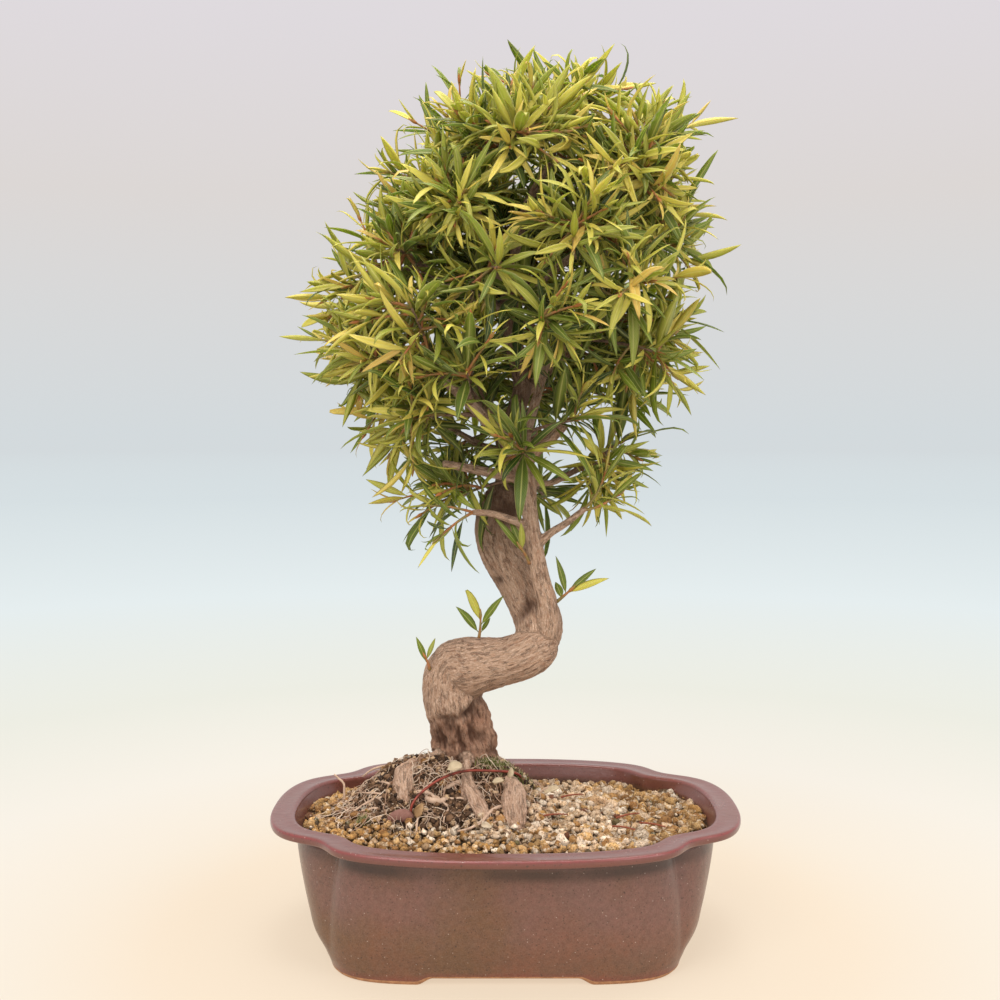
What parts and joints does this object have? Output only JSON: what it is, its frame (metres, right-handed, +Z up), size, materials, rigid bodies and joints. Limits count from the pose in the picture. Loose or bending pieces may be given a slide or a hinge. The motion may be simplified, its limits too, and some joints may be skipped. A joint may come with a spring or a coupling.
{
  "type": "willow leaf fig bonsai",
  "caption": "Potted fig bonsai: an S-curved trunk with surface roots and a rounded crown of narrow leaves, planted in gritty soil in a glazed pot.",
  "frame": {"origin": "on the ground under the middle of the pot, between its four feet", "axes": "+X along the pot's long side to the right as the tree's front is seen, +Y from front to back, +Z up"},
  "size_m": [0.277, 0.21, 0.5281],
  "materials": {
    "glaze": "satin-gloss brown mauve glaze, bare clay under the feet",
    "grains": "loose tan and pale volcanic grains over dark humus",
    "bark": "fine streaked pinkish tan bark, rougher at the base",
    "leaf": "satin green leaf with a pale midrib",
    "copper": "dull copper wire",
    "mesh_plastic": "black plastic mesh"
  },
  "bodies": {
    "root": {"drain_screen_1": "mesh_plastic", "drain_screen_2": "mesh_plastic", "pot": "glaze", "soil": "grains", "spray_01": "leaf", "spray_02": "leaf", "spray_03": "leaf", "spray_04": "leaf", "spray_05": "leaf", "spray_06": "leaf", "spray_07": "leaf", "spray_08": "leaf", "spray_09": "leaf", "spray_10": "leaf", "spray_11": "leaf", "spray_12": "leaf", "spray_13": "leaf", "spray_14": "leaf", "spray_15": "leaf", "spray_16": "leaf", "spray_17": "leaf", "spray_18": "leaf", "spray_19": "leaf", "spray_20": "leaf", "spray_21": "leaf", "spray_22": "leaf", "spray_23": "leaf", "spray_24": "leaf", "spray_25": "leaf", "spray_26": "leaf", "spray_27": "leaf", "spray_28": "leaf", "spray_29": "leaf", "spray_30": "leaf", "spray_31": "leaf", "spray_32": "leaf", "spray_33": "leaf", "spray_34": "leaf", "spray_35": "leaf", "spray_36": "leaf", "spray_37": "leaf", "spray_38": "leaf", "spray_39": "leaf", "spray_40": "leaf", "spray_41": "leaf", "spray_42": "leaf", "spray_43": "leaf", "spray_44": "leaf", "sprout_elbow": "leaf", "sprout_left": "leaf", "sprout_right": "leaf", "sprout_stem": "leaf", "tie_wire": "copper", "trunk": "bark"}
  },
  "joints": []
}
